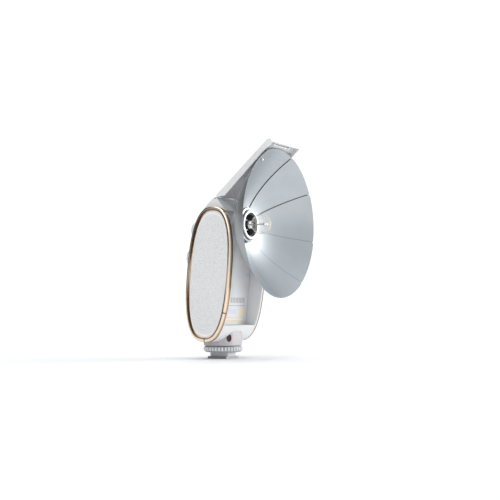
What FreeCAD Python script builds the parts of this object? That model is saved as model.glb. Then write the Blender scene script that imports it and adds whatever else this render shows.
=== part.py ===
import FreeCAD, Part
import math
import os
import Sketcher
from FreeCAD import Placement, Rotation, Vector

# A folding-reflector flash bulb gun, in millimetres. +Z is up and -Y is the way the lamp points.
# The origin is the middle of the underside of the accessory-shoe foot.
#   case_frame   leans forward with the case; its Y runs front to back through the case
#   lamp_frame   local Z points forward along the lamp's axis; local Y is up
#   cover_frame  lies on the cover's outer face; local -Y runs from the hinge to the free end

SIZES = {
    "case_lean": (5.2, "forward lean of the case, degrees"),
    "case_centre_y": (-3.46, "middle of the case, front to back"),
    "case_centre_z": (68.85, "middle of the case, height"),
    "case_half_depth": (20.7, "superellipse half-axis, front to back"),
    "case_half_height": (54.8, "superellipse half-axis, along the case"),
    "case_power": (2.61, "superellipse exponent of the case outline"),
    "wall": (1.8, "moulded wall thickness"),
    "core_half_width": (24.3, "half the width between the side plates"),
    "cheek_inner": (24.5, "inner face of each side plate, from the middle"),
    "cheek_outer": (26.9, "outer face of each side plate"),
    "trim_face": (29.1, "outer face of the trim ring"),
    "trim_width": (3.1, "width of the trim ring"),
    "trim_round": (1.5, "rounded outer edge of the trim ring"),
    "grip_face": (28.5, "outer face of the grip panel"),
    "recess_floor": (-7.5, "recess floor, in front of the case axis"),
    "recess_ledge": (-40.2, "bottom ledge of the recess, along the case"),
    "foot_width": (18.6, "standard shoe foot, side to side"),
    "foot_length": (18.0, "shoe foot, front to back"),
    "foot_plate_height": (2.0, "shoe foot plate"),
    "foot_block_width": (12.5, "block above the shoe rails"),
    "foot_block_top": (5.2, "top of that block"),
    "stem_radius": (5.0, "stem inside the locking ring"),
    "ring_bottom": (5.4, "locking ring, lower face"),
    "ring_top": (10.7, "locking ring, upper face"),
    "ring_radius": (16.2, "locking ring"),
    "rib_count": (36, "ribs round the locking ring"),
    "neck_bottom": (10.9, "underside of the neck"),
    "neck_width": (31.0, "neck, side to side"),
    "neck_depth": (28.0, "neck, front to back"),
    "neck_corner": (11.0, "rounded upright corners of the neck"),
    "lock_pin_radius": (1.2, "locking pin"),
    "lock_pin_back": (6.5, "locking pin, behind the middle of the foot"),
    "lamp_height": (109.9, "lamp axis above the foot"),
    "housing_radius": (13.5, "lamp housing"),
    "housing_floor": (15.8, "floor inside the lamp housing, forward of the origin"),
    "housing_front": (19.5, "front of the lamp housing"),
    "sleeve_radius": (11.05, "sleeve that the petals turn on"),
    "sleeve_bore": (9.5, "inside of that sleeve"),
    "bezel_back": (24.0, "rear of the hub bezel"),
    "bezel_front": (27.4, "front of the hub bezel"),
    "bezel_radius": (14.5, "hub bezel"),
    "socket_floor": (17.0, "floor of the lamp socket"),
    "bulb_radius": (8.4, "glass bulb"),
    "bulb_centre": (36.6, "middle of the glass bulb"),
    "bulb_base_radius": (3.6, "cap of the bulb"),
    "cap_front": (26.6, "front of that cap"),
    "bowl_radius": (60.3, "rim of the reflector"),
    "bowl_depth": (33.6, "depth of the reflector"),
    "bowl_power": (2.075, "exponent of the reflector's profile"),
    "bowl_rim": (53.0, "rim plane of petal 1"),
    "petal_count": (9, "petals in the fan"),
    "petal_sheet": (0.16, "sheet of each petal, along the axis"),
    "petal_pitch": (0.36, "step from petal to petal, along the axis"),
    "petal_overlap": (3.0, "overlap of neighbouring petals, degrees"),
    "petal_corner": (2.4, "rounded outer corners of a petal"),
    "first_edge": (68.9, "edge of petal 1, degrees from +X"),
    "petal_bore": (11.1, "hole of each petal's hub ring"),
    "petal_ring": (14.2, "outside of each petal's hub ring"),
    "tab_at": (55.0, "finger stud, from the lamp's axis"),
    "tab_angle": (114.8, "finger stud, degrees from +X"),
    "rivet_at": (42.8, "rivet of the front petal, from the lamp's axis"),
    "rivet_angle": (124.5, "rivet of the front petal, degrees from +X"),
    "cover_base_y": (-0.1, "foot of the cover's outer line"),
    "cover_base_z": (126.2, "foot of the cover's outer line, height"),
    "cover_tilt": (41.3, "rise of the open cover, degrees"),
    "cover_half_width": (23.75, "half the width of the cover"),
    "cover_end": (76.6, "free end of the cover, from the foot of its line"),
    "cover_sheet": (1.2, "thickness of the cover"),
    "cover_flange": (1.4, "thickness of the cover's side flanges"),
    "cover_start": (10.2, "hinge end of the cover, along its line"),
    "hinge_along": (8.4, "hinge axis, along the cover's line"),
    "hinge_below": (1.6, "hinge axis, below the cover's outer face"),
    "knuckle_radius": (1.5, "hinge knuckles"),
    "hinge_pin_radius": (0.6, "hinge pin"),
    "control_x": (-17.0, "column of the rear controls"),
    "button_along": (35.2, "test button, along the case"),
    "button_radius": (6.3, "test button"),
    "button_proud": (5.9, "test button, proud of the case"),
    "dial_along": (12.4, "mode dial, along the case"),
    "dial_radius": (7.0, "mode dial"),
    "dial_height": (4.6, "mode dial, thickness"),
    "dial_flutes": (24, "flutes round the mode dial"),
    "shaft_radius": (2.0, "shaft of the mode dial"),
    "switch_along": (-11.7, "power switch, along the case"),
    "thumb_height": (2.6, "power switch, proud of the case"),
    "ready_lamp_x": (14.0, "ready lamp, from the middle"),
    "jack_x": (12.0, "sync socket, from the middle"),
    "jack_along": (12.4, "sync socket, along the case"),
    "jack_radius": (3.0, "body of the sync socket and of the ready lamp"),
    "jack_bore": (1.25, "bore of the sync socket"),
    "jack_depth": (9.0, "depth of that bore"),
    "board_face": (-5.2, "front of the circuit board, from the case axis"),
    "inside_floor": (-44.0, "where the parts inside stand, along the case"),
    "cell_radius": (7.1, "battery cell"),
    "cell_length": (49.0, "battery cell"),
    "capacitor_radius": (8.0, "flash capacitor"),
    "capacitor_length": (34.0, "flash capacitor"),
    "running_gap": (0.05, "radial clearance of shafts and pins"),
    "fit_gap": (0.3, "gap between parts that move past each other"),
}

CASE_KNUCKLES = ((-22.0, -14.0), (-5.0, 5.0), (14.0, 22.0))     # X spans of the hinge knuckles
COVER_KNUCKLES = ((-13.7, -5.3), (5.3, 13.7))
SHOULDER_FOOT = 43.0            # where the shoulder meets the back of the case, along the case
SHOULDER_FRONT = (-14.8, 46.0)  # where its front wall meets the top of the recess
WINDOW_BEARING = -130           # direction that the sensor window faces, degrees from +X
WINDOW_HALF = (2.3, 3.2)        # half-axes of its oval, across and up
WINDOW_HEIGHT = 17.2
TRIM_JOINTS = (-29.9, -1.7)     # joint low on the front edge (along) and under the case (depth)

doc = FreeCAD.newDocument("flash_bulb_gun")
sheet = doc.addObject("Spreadsheet::Sheet", "Sizes")
for row, (alias, (value, note)) in enumerate(SIZES.items(), start=1):
    sheet.set(f"A{row}", str(value))
    sheet.setAlias(f"A{row}", alias)
    sheet.set(f"B{row}", note)
doc.recompute()

parts = []
X_AXIS = Vector(1, 0, 0)
Y_AXIS = Vector(0, 1, 0)
Z_AXIS = Vector(0, 0, 1)


def size(formula):
    """Value of a formula written with the sheet's aliases, such as 'wall * 2'."""
    return float(sheet.evalExpression(formula))


def with_sheet(formula):
    """The same formula with the sheet's name before each alias, for an expression on another object."""
    words = formula.replace("(", " ( ").replace(")", " ) ").split()
    return " ".join("Sizes." + word if word in SIZES else word for word in words)


def bind(obj, **formulas):
    """Tie each named property of an object to a formula of the sheet's sizes."""
    for name, formula in formulas.items():
        obj.setExpression(name, with_sheet(formula))
    return obj


def finish(obj, label, place=None):
    """Give a finished sub-part its label and place, and add it to the list that is written out."""
    obj.Label = label
    if place is not None:
        obj.Placement = place
    parts.append(obj)
    return obj


def feature(label, shape, place=None):
    """A sub-part whose shape is worked out with Part's own functions."""
    obj = doc.addObject("Part::Feature", label)
    obj.Shape = shape
    return finish(obj, label, place)


def block(name, x, y, z, at=(0, 0, 0)):
    """A Part::Box with its three lengths bound; 'at' is its lowest corner as three formulas."""
    obj = bind(doc.addObject("Part::Box", name), Length=x, Width=y, Height=z)
    obj.Placement = Placement(Vector(*[size(str(value)) for value in at]), Rotation())
    return obj


def rod(name, radius, length, at=(0, 0, 0), along=Z_AXIS):
    """A Part::Cylinder with radius and length bound, from 'at' (three formulas) along a direction."""
    obj = bind(doc.addObject("Part::Cylinder", name), Radius=radius, Height=length)
    base = Vector(*[size(str(value)) for value in at])
    obj.Placement = Placement(base, Rotation(Z_AXIS, along))
    return obj


def cut(name, base, tool):
    obj = doc.addObject("Part::Cut", name)
    obj.Base = base
    obj.Tool = tool
    return obj


def join(name, *shapes):
    obj = doc.addObject("Part::MultiFuse", name)
    obj.Shapes = list(shapes)
    return obj


def origin_plane(body, role):
    return next(plane for plane in body.Origin.OriginFeatures if plane.Role == role)


def profile(body, corners, plane="XZ_Plane"):
    """Closed polygon sketch; each corner is a pair of formulas, and both are bound by constraints."""
    sketch = body.newObject("Sketcher::SketchObject", body.Name + "_profile")
    sketch.AttachmentSupport = [(origin_plane(body, plane), "")]
    sketch.MapMode = "FlatFace"
    points = [Vector(size(across), size(up), 0) for across, up in corners]
    for index, start in enumerate(points):
        end = points[(index + 1) % len(points)]
        sketch.addGeometry(Part.LineSegment(start, end), False)
    for index, (across, up) in enumerate(corners):
        following = (index + 1) % len(corners)
        sketch.addConstraint(Sketcher.Constraint("Coincident", index, 2, following, 1))
        corner = points[index]
        for kind, formula, value in (("DistanceX", across, corner.x), ("DistanceY", up, corner.y)):
            number = sketch.addConstraint(Sketcher.Constraint(kind, index, 1, value))
            sketch.setExpression(f"Constraints[{number}]", with_sheet(formula))
    return sketch


def turned(label, corners, place=None, finished=True):
    """PartDesign body turned on a lathe: a polygon of (radius, height) formulas revolved about Z."""
    body = doc.addObject("PartDesign::Body", label)
    sketch = profile(body, corners)
    spin = body.newObject("PartDesign::Revolution", label + "_turning")
    spin.Profile = sketch
    spin.ReferenceAxis = (sketch, ["V_Axis"])
    spin.Angle = 360
    body.Tip = spin
    if finished:
        return finish(body, label, place)
    body.Placement = place
    return body


def case_outline(inset=0.0, points=48):
    """Closed spline through the superellipse |y/a|^n + |z/b|^n = 1 in the plane X = 0, less an inset."""
    half_depth = size("case_half_depth") - inset
    half_height = size("case_half_height") - inset
    power = 2 / size("case_power")
    corners = []
    for index in range(points):
        angle = 2 * math.pi * index / points
        across = math.copysign(abs(math.cos(angle)) ** power, math.cos(angle))
        along = math.copysign(abs(math.sin(angle)) ** power, math.sin(angle))
        corners.append(Vector(0, half_depth * across, half_height * along))
    curve = Part.BSplineCurve()
    curve.interpolate(Points=corners, PeriodicFlag=True)
    return Part.Wire(curve.toShape())


def case_slab(inset, x_from, x_to):
    """The case outline as a slab between two X planes."""
    face = Part.Face(case_outline(inset))
    face.translate(Vector(x_from, 0, 0))
    return face.extrude(Vector(x_to - x_from, 0, 0))


def bar(corner, lengths):
    """Plain box solid from its lowest corner."""
    return Part.makeBox(*lengths, Vector(*corner))


def side_plate(points, x_from, x_to):
    """Polygon of (Y, Z) points as a slab between two X planes."""
    wire = Part.makePolygon([Vector(x_from, y, z) for y, z in points + points[:1]])
    return Part.Face(wire).extrude(Vector(x_to - x_from, 0, 0))


case_frame = Placement(
    Vector(0, size("case_centre_y"), size("case_centre_z")), Rotation(X_AXIS, size("case_lean"))
)
lamp_frame = Placement(Vector(0, 0, size("lamp_height")), Rotation(X_AXIS, 90))
cover_frame = Placement(
    Vector(0, size("cover_base_y"), size("cover_base_z")), Rotation(X_AXIS, -size("cover_tilt"))
)


def moved(shape, place):
    """Copy of a shape taken through a placement."""
    result = shape.copy()
    result.Placement = place.multiply(result.Placement)
    return result


def half_depth_at(along, inset=0.0):
    """How far the case outline stands behind the case axis at a height along the case."""
    share = abs(along) / (size("case_half_height") - inset)
    return (size("case_half_depth") - inset) * (1 - share ** size("case_power")) ** (1 / size("case_power"))


def make_case():
    """Rear shell and front deck: one moulded wall round the case's core, parted behind the recess floor."""
    width = size("core_half_width")
    wall = size("wall")
    floor = size("recess_floor")
    ledge = size("recess_ledge")
    reach = size("case_half_height") + 1
    recess = bar((-width - 1, floor - 40, ledge), (2 * width + 2, 40, reach - ledge))
    core = case_slab(0, -width, width).cut(recess)
    hollow = case_slab(wall, -width - 1, width + 1)
    hollow = hollow.cut(bar((-width - 2, floor - 40, ledge - wall), (2 * width + 4, 40 + wall, 2 * reach)))
    band = core.cut(hollow)
    deck_zone = bar((-width, floor, ledge), (2 * width, wall, 2 * reach))
    deck = band.common(deck_zone)
    shell = band.cut(deck_zone)
    for x, along, radius in rear_holes():
        shell = shell.cut(Part.makeCylinder(radius, 30, Vector(x, 5, along), Y_AXIS))
    slot = bar((size("control_x") - 2.6, 5, size("switch_along") - 5.6), (5.2, 30, 11.2))
    shell = shell.cut(slot)
    feature("rear_shell", shell, case_frame)
    feature("front_deck", deck, case_frame)


def rear_holes():
    """Round holes in the back of the case: X, place along the case and radius."""
    gap = size("running_gap")
    return [
        (size("control_x"), size("button_along"), size("button_radius") + 0.2),
        (size("control_x"), size("dial_along"), size("shaft_radius") + gap),
        (size("ready_lamp_x"), size("button_along"), size("jack_radius") + gap),
        (size("jack_x"), size("jack_along"), size("jack_radius") + gap),
    ]


def make_sides():
    """Side plates, trim rings with their short lower segments, and grip panels, one set on each side."""
    for side, name in ((-1, "left"), (1, "right")):
        inner, outer = side * size("cheek_inner"), side * size("cheek_outer")
        feature(f"{name}_cheek", case_slab(0, inner, outer), case_frame)
        face = side * size("trim_face")
        ring = case_slab(0, outer, face)
        crown = [edge for edge in ring.Edges if abs(edge.BoundBox.XMin - face) < 0.01
                 and abs(edge.BoundBox.XMax - face) < 0.01]
        ring = ring.makeFillet(size("trim_round"), crown)
        ring = ring.cut(case_slab(size("trim_width"), outer - side, face + side))
        segment = trim_wedge(outer - side, face + side, 0.0)
        gap = trim_wedge(outer - side, face + side, 0.2)
        feature(f"{name}_trim_ring", ring.cut(gap), case_frame)
        feature(f"{name}_trim_segment", ring.common(segment), case_frame)
        grip = case_slab(size("trim_width + running_gap * 2"), outer, side * size("grip_face"))
        feature(f"{name}_grip_panel", grip, case_frame)


def trim_wedge(x_from, x_to, grow):
    """Zone of the short trim segment, from low on the front edge to the bottom of the outline."""
    top, rear = TRIM_JOINTS[0] + grow, TRIM_JOINTS[1] + grow
    points = [(-30, top), (-9, top), (rear, -44), (rear, -60), (-30, -60)]
    return side_plate(points, x_from, x_to)


def case_point(depth, along):
    """Point of the case frame's YZ plane as a global vector."""
    return case_frame.multVec(Vector(0, depth, along))


def shoulder_section(inset):
    """Closed wire round the shoulder: straight under the cover, a Bezier down to the back, a flat front."""
    tilt = math.radians(size("cover_tilt"))
    up = Vector(0, -math.cos(tilt), math.sin(tilt))
    out = Vector(0, math.sin(tilt), math.cos(tilt))
    base = Vector(0, size("cover_base_y"), size("cover_base_z")) - out * inset
    top = base + up * (size("hinge_along") - 1.8)
    bend = base - up * 4
    low = case_point(half_depth_at(SHOULDER_FOOT) - inset, SHOULDER_FOOT)
    above = case_point(half_depth_at(SHOULDER_FOOT + 1) - inset, SHOULDER_FOOT + 1)
    rise = (above - low).normalize()
    back = Part.BezierCurve()
    back.setPoles([top, bend, bend - up * 5, low + rise * 6, low])
    inner = case_point(0, 38)
    front = case_point(SHOULDER_FRONT[0] + inset, SHOULDER_FRONT[1])
    lip = top + Vector(0, -3.0 + inset * 1.6, 1.2)
    edges = [back.toShape()]
    for start, end in ((low, inner), (inner, front), (front, lip), (lip, top)):
        edges.append(Part.makeLine(start, end))
    return Part.Wire(Part.__sortEdges__(edges))


def make_shoulder():
    """Raised back between the side plates that carries the cover's hinge, hollow, open to the case below."""
    width = size("core_half_width")
    wall = size("wall")
    shapes = []
    for inset, half in ((0, width), (wall, width - wall)):
        face = Part.Face(shoulder_section(inset))
        face.translate(Vector(-half, 0, 0))
        shapes.append(face.extrude(Vector(2 * half, 0, 0)))
    shoulder = shapes[0].cut(shapes[1]).cut(moved(case_slab(0, -width - 1, width + 1), case_frame))
    room = Part.makeCylinder(size("housing_radius + fit_gap"), size("housing_front"), Vector(), Z_AXIS)
    shoulder = shoulder.cut(moved(room, lamp_frame))
    shoulder = max(shoulder.Solids, key=lambda solid: solid.Volume)
    for start, end in CASE_KNUCKLES:
        shoulder = shoulder.fuse(knuckle(start, end, -1))
    shoulder = shoulder.cut(hinge_bore()).cut(moved(knuckle_gaps(COVER_KNUCKLES), cover_frame))
    feature("hinge_shoulder", max(shoulder.Solids, key=lambda solid: solid.Volume).removeSplitter())


def knuckle(start, end, side):
    """Hinge knuckle with a short web; side -1 joins it to the shoulder and +1 to the cover."""
    y, z = -size("hinge_along"), -size("hinge_below")
    barrel = Part.makeCylinder(size("knuckle_radius"), end - start, Vector(start, y, z), X_AXIS)
    reach = 2.6
    web_y = y if side < 0 else y - reach
    web = bar((start, web_y, -size("cover_sheet")), (end - start, reach, size("cover_sheet")))
    return moved(barrel.fuse(web), cover_frame)


def knuckle_gaps(spans):
    """Clear space round the other leaf's knuckles."""
    gap = size("fit_gap")
    radius = size("knuckle_radius") + gap
    y, z = -size("hinge_along"), -size("hinge_below")
    shapes = [Part.makeCylinder(radius, end - start + 2 * gap, Vector(start - gap, y, z), X_AXIS)
              for start, end in spans]
    return shapes[0].multiFuse(shapes[1:])


def hinge_bore():
    """Hole for the hinge pin, right across the cover."""
    y, z = -size("hinge_along"), -size("hinge_below")
    radius = size("hinge_pin_radius + running_gap")
    return moved(Part.makeCylinder(radius, 60, Vector(-30, y, z), X_AXIS), cover_frame)


def make_cover():
    """Cover: a tray whose side flanges are deepest by the hinge, with a window frame at its free end."""
    half = size("cover_half_width")
    skin, flange = size("cover_sheet"), size("cover_flange")
    start, end = -size("cover_start"), -size("cover_end")
    side = [(start, 0), (start, -1.4), (-16.0, -6.0), (-53.0, -5.1), (-68.0, -4.7), (end + 0.8, -4.6),
            (end, -1.9), (end + 2.2, -0.15), (-66.0, 0)]
    hollow = [(start + 1, -skin), (end + 2.8, -skin), (end + 1.2, -2.2), (end + 1.2, -9), (start + 1, -9)]
    tray = side_plate(side, -half, half).cut(side_plate(hollow, flange - half, half - flange))
    shape = moved(tray, cover_frame)
    for span in COVER_KNUCKLES:
        shape = shape.fuse(knuckle(*span, 1))
    shape = shape.cut(hinge_bore()).cut(moved(knuckle_gaps(CASE_KNUCKLES), cover_frame))
    feature("cover", shape.removeSplitter())
    width, depth, rim, height = 25.0, 4.0, 1.2, 1.5
    frame = bar((-width / 2, end + 1.6, -skin - height), (width, depth, height))
    window = bar((rim - width / 2, end + 1.6 + rim, -skin - 2 * height),
                 (width - 2 * rim, depth - 2 * rim, 3 * height))
    catch = frame.cut(window).cut(moved(shape, cover_frame.inverse()))
    feature("cover_catch", max(catch.Solids, key=lambda solid: solid.Volume), cover_frame)
    pin = rod("hinge_pin", "hinge_pin_radius", "cover_half_width * 2 - cover_flange * 2 - 0.6",
              ("cover_flange + 0.3 - cover_half_width", "-hinge_along", "-hinge_below"), X_AXIS)
    finish(pin, "hinge_pin", cover_frame.multiply(pin.Placement))


def neck_block(inset):
    """The neck's upright block with its corners rounded, less an inset from each side."""
    width, depth = size("neck_width") - 2 * inset, size("neck_depth") - 2 * inset
    shape = bar((-width / 2, -depth / 2, size("neck_bottom")), (width, depth, 16))
    upright = [edge for edge in shape.Edges if edge.BoundBox.ZLength > 15]
    return shape.makeFillet(size("neck_corner"), upright)


def make_neck():
    """Rounded neck under the case, with the dark sensor window set into its front left corner."""
    case_zone = moved(case_slab(0, -40, 40), case_frame)
    shape = min(neck_block(0).cut(case_zone).Solids, key=lambda solid: solid.BoundBox.ZMin)
    stretch = FreeCAD.Matrix()
    stretch.scale(1, WINDOW_HALF[0], WINDOW_HALF[1])
    oval = Part.makeCylinder(1.0, 17, Vector(), X_AXIS).transformGeometry(stretch)
    oval.Placement = Placement(Vector(0, 0, WINDOW_HEIGHT), Rotation(Z_AXIS, WINDOW_BEARING))
    shape = shape.cut(oval)
    lens = oval.common(neck_block(0.5)).cut(Part.makeCylinder(11.5, 30, Vector(0, 0, 5))).cut(case_zone)
    stem_hole = Part.makeCylinder(size("stem_radius"), 6, Vector(0, 0, size("neck_bottom") - 1), Z_AXIS)
    feature("neck_housing", shape.cut(stem_hole))
    feature("sensor_window", max(lens.Solids, key=lambda solid: solid.Volume))


def make_foot():
    """Shoe foot: steel plate, insulating block, contacts, stem, knurled locking ring and its drop pin."""
    plate = block("foot_slab", "foot_width", "foot_length", "foot_plate_height",
                  ("-foot_width / 2", "-foot_length / 2", 0))
    pad = rod("foot_pad_hole", "2.6", "foot_plate_height * 2", (0, 0, -1))
    pin_hole = rod("foot_pin_hole", "lock_pin_radius + running_gap", "20", (0, "lock_pin_back", -1))
    finish(cut("foot_plate", plate, join("foot_holes", pad, pin_hole)), "foot_plate")
    upper = block("foot_upper", "foot_block_width", "foot_length - 1", "foot_block_top - foot_plate_height",
                  ("-foot_block_width / 2", "0.5 - foot_length / 2", "foot_plate_height"))
    plug = rod("foot_plug", "2.55", "foot_plate_height - 0.2", (0, 0, 0.2))
    upper_pin = rod("block_pin_hole", "lock_pin_radius + running_gap", "20", (0, "lock_pin_back", -1))
    contact_hole = rod("contact_hole", "0.95", "3", (0, 0, 0))
    finish(cut("foot_block", join("foot_body", upper, plug), join("block_holes", upper_pin, contact_hole)),
           "foot_block")
    turned("foot_contact", [("0", "0.05"), ("0.9", "0.05"), ("0.9", "2.9"), ("0", "2.9")])
    turned("foot_stem", [("0", "foot_block_top"), ("stem_radius", "foot_block_top"),
                         ("stem_radius", "neck_bottom + 2.9"), ("0", "neck_bottom + 2.9")])
    make_locking_ring()
    pin = rod("lock_pin", "lock_pin_radius", "foot_block_top - 1.8", (0, "lock_pin_back", 0.1))
    finish(pin, "lock_pin")


def make_locking_ring():
    """Knurled ring: a turned ring with a chamfered rim, ribbed by one rib patterned round the axis."""
    body = turned("locking_ring", [
        ("stem_radius + running_gap", "ring_bottom"), ("ring_radius - 1.6", "ring_bottom"),
        ("ring_radius - 0.8", "ring_bottom + 0.8"), ("ring_radius - 0.8", "ring_top - 0.8"),
        ("ring_radius - 1.6", "ring_top"), ("stem_radius + running_gap", "ring_top")])
    rib = body.newObject("Sketcher::SketchObject", "rib_profile")
    rib.AttachmentSupport = [(origin_plane(body, "XY_Plane"), "")]
    rib.MapMode = "FlatFace"
    rib.AttachmentOffset = Placement(Vector(0, 0, size("ring_bottom + 0.9")), Rotation())
    inner, outer, half = size("ring_radius - 1.4"), size("ring_radius"), 0.7
    corners = [Vector(inner, -half, 0), Vector(outer, -half * 0.6, 0), Vector(outer, half * 0.6, 0),
               Vector(inner, half, 0)]
    for index, corner in enumerate(corners):
        rib.addGeometry(Part.LineSegment(corner, corners[(index + 1) % 4]), False)
    pad = body.newObject("PartDesign::Pad", "rib")
    pad.Profile = rib
    bind(pad, Length="ring_top - ring_bottom - 1.8")
    doc.recompute()
    pattern = body.newObject("PartDesign::PolarPattern", "ribs")
    pattern.Originals = [pad]
    pattern.Axis = (rib, ["N_Axis"])
    pattern.Angle = 360
    bind(pattern, Occurrences="rib_count")
    body.Tip = pattern


def make_lamp():
    """Lamp housing, sleeve, bezel, socket, contacts and the bulb, all turned about the lamp's axis."""
    cup = turned("housing_turning", [
        ("0", "8"), ("housing_radius", "8"), ("housing_radius", "housing_front"),
        ("sleeve_radius + running_gap", "housing_front"), ("sleeve_radius + running_gap", "housing_floor"),
        ("0", "housing_floor")], lamp_frame, finished=False)
    behind = block("behind_recess_floor", "60", "60", "90", (-30, "recess_floor", 0))
    behind.Placement = case_frame.multiply(behind.Placement)
    finish(cut("housing_seat", cup, behind), "lamp_housing")
    turned("hub_sleeve", [
        ("sleeve_bore", "housing_floor"), ("sleeve_radius", "housing_floor"),
        ("sleeve_radius", "bezel_back"), ("10.6", "bezel_back"), ("10.6", "bezel_back + 2"),
        ("sleeve_bore", "bezel_back + 2")], lamp_frame)
    turned("hub_bezel", [
        ("10.65", "bezel_back"), ("bezel_radius - 0.4", "bezel_back"), ("bezel_radius", "bezel_back + 0.4"),
        ("bezel_radius", "bezel_back + 1.2"), ("bezel_radius - 0.6", "bezel_back + 1.6"),
        ("12.2", "bezel_back + 1.9"), ("11.3", "bezel_front"), ("9.5", "bezel_front"),
        ("9.3", "bezel_front - 0.2"), ("9.3", "bezel_back + 2.1"), ("10.65", "bezel_back + 2.1")],
        lamp_frame)
    turned("lamp_socket", [
        ("0", "housing_floor + 0.1"), ("sleeve_bore - running_gap", "housing_floor + 0.1"),
        ("sleeve_bore - running_gap", "bezel_back + 1.8"), ("8.7", "bezel_back + 1.8"),
        ("8.7", "socket_floor"), ("0", "socket_floor")], lamp_frame)
    yoke = block("yoke_block", "16", "5.6", "4", (-8, -2.8, "socket_floor + 0.1"))
    collar = rod("yoke_collar", "4.9", "5", (0, 0, "socket_floor + 0.1"))
    bore = rod("yoke_bore", "bulb_base_radius + running_gap", "8", (0, 0, "socket_floor"))
    finish(cut("bulb_yoke", join("yoke_body", yoke, collar), bore), "bulb_yoke", lamp_frame)
    clips = [Part.makeCylinder(0.8, 1.6, Vector(x, y, size("socket_floor") + 4.15))
             for x, y in ((-6.9, 1.1), (-6.9, -1.5), (6.9, 0))]
    feature("socket_contacts", Part.makeCompound(clips), lamp_frame)
    make_bulb()


def make_bulb():
    """Glass bulb with its metal cap, a hollow blown envelope, and two wires with a small electrode each."""
    turned("bulb_cap", [
        ("0", "socket_floor + 0.4"), ("bulb_base_radius - 0.5", "socket_floor + 0.4"),
        ("bulb_base_radius", "socket_floor + 0.9"), ("bulb_base_radius", "cap_front - 0.6"),
        ("bulb_base_radius - 0.6", "cap_front"), ("0", "cap_front")], lamp_frame)
    radius, middle, front = size("bulb_radius"), size("bulb_centre"), size("cap_front")
    neck, glass = 3.4, 0.6
    shape = blown(radius, neck, middle, front).cut(blown(radius - glass, neck - glass, middle, front - 1))
    shape = shape.cut(Part.makeCylinder(20, 12 + 0.05, Vector(0, 0, front - 12)))
    feature("bulb_glass", shape, lamp_frame)
    wire, apart, tip, height = 0.35, 1.6, 1.0, 1.4
    stand = middle + 3.2
    pieces = []
    for side in (-1, 1):
        lead = Part.makeCylinder(wire, stand - front - 0.1, Vector(side * apart, 0, front + 0.1))
        pieces.append(lead.fuse(Part.makeCylinder(tip, height, Vector(side * apart, 0, stand))))
    filament = Part.makeCylinder(0.25, 2 * (apart - tip), Vector(tip - apart, 0, stand + height / 2), X_AXIS)
    pieces.append(filament)
    feature("bulb_electrodes", Part.makeCompound(pieces), lamp_frame)


def blown(radius, neck, middle, start):
    """Sphere on a round neck, as one solid of revolution about Z."""
    ball = Part.makeSphere(radius, Vector(0, 0, middle))
    stem = Part.makeCylinder(neck, middle - start, Vector(0, 0, start))
    return ball.fuse(stem)


def bowl_face(offset):
    """Section of one petal's sheet in the XZ plane: depth falls with the radius to a set power."""
    bore, rim = size("petal_bore"), size("bowl_radius")
    vertex = size("bowl_rim - bowl_depth") + offset
    depth, power = size("bowl_depth"), size("bowl_power")
    radii = [bore + (rim - bore) * step / 8 for step in range(9)]
    front = [Vector(r, 0, vertex + depth * (r / rim) ** power) for r in radii]
    thickness = Vector(0, 0, -size("petal_sheet"))
    front_curve = Part.BSplineCurve()
    front_curve.interpolate(front)
    back_curve = Part.BSplineCurve()
    back_curve.interpolate([point + thickness for point in front])
    edges = [
        front_curve.toShape(), Part.makeLine(front[-1], front[-1] + thickness),
        back_curve.toShape(), Part.makeLine(front[0] + thickness, front[0])]
    return Part.Face(Part.Wire(Part.__sortEdges__(edges)))


def make_petals():
    """Nine overlapping petals; each turns on the sleeve in front of the last and covers 40 degrees."""
    count = int(size("petal_count"))
    sector = 360 / count
    overlap = size("petal_overlap")
    for number in range(1, count + 1):
        offset = (number - 1) * size("petal_pitch")
        bowl = bowl_face(offset).revolve(Vector(), Z_AXIS, 360)
        upper = size("first_edge") + sector * (2 - number)
        lower = upper - sector - overlap
        wedge = Part.makeCylinder(size("bowl_radius") + 0.01, 70, Vector(), Z_AXIS, sector + overlap)
        corners = [edge for edge in wedge.Edges if edge.BoundBox.ZLength > 60
                   and max(abs(edge.BoundBox.XMax), abs(edge.BoundBox.YMax)) > 20]
        wedge = wedge.makeFillet(size("petal_corner"), corners)
        wedge.rotate(Vector(), Z_AXIS, lower)
        stencil = wedge.fuse(Part.makeCylinder(size("petal_ring"), 70))
        petal = max(bowl.common(stencil).Solids, key=lambda solid: solid.Volume)
        feature(f"petal_{number}", petal, lamp_frame)
    make_fan_tab()


def make_fan_tab():
    """Domed finger stud near the rim of the front petal, and a smaller rivet beside the next petal."""
    for name, place, angle, radius in (
            ("fan_tab", "tab_at", "tab_angle", 1.2), ("fan_rivet", "rivet_at", "rivet_angle", 0.8)):
        share = size(place) / size("bowl_radius")
        depth, power = size("bowl_depth"), size("bowl_power")
        lift = (size("petal_count") - 1) * size("petal_pitch")
        height = size("bowl_rim - bowl_depth") + lift + depth * share ** power
        slope = math.atan(depth * power / size("bowl_radius") * share ** (power - 1))
        turn = math.radians(size(angle))
        out = Vector(math.cos(turn), math.sin(turn), 0)
        normal = Z_AXIS * math.cos(slope) - out * math.sin(slope)
        foot = out * size(place) + Z_AXIS * height
        stud = Part.makeCylinder(radius, 0.75 * radius, foot + normal * 0.03, normal)
        crown = [edge for edge in stud.Edges if edge.CenterOfMass.distanceToPoint(foot) > 0.6 * radius
                 and edge.Length > 6 * radius]
        feature(name, stud.makeFillet(0.35 * radius, crown[:1]), lamp_frame)


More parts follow.
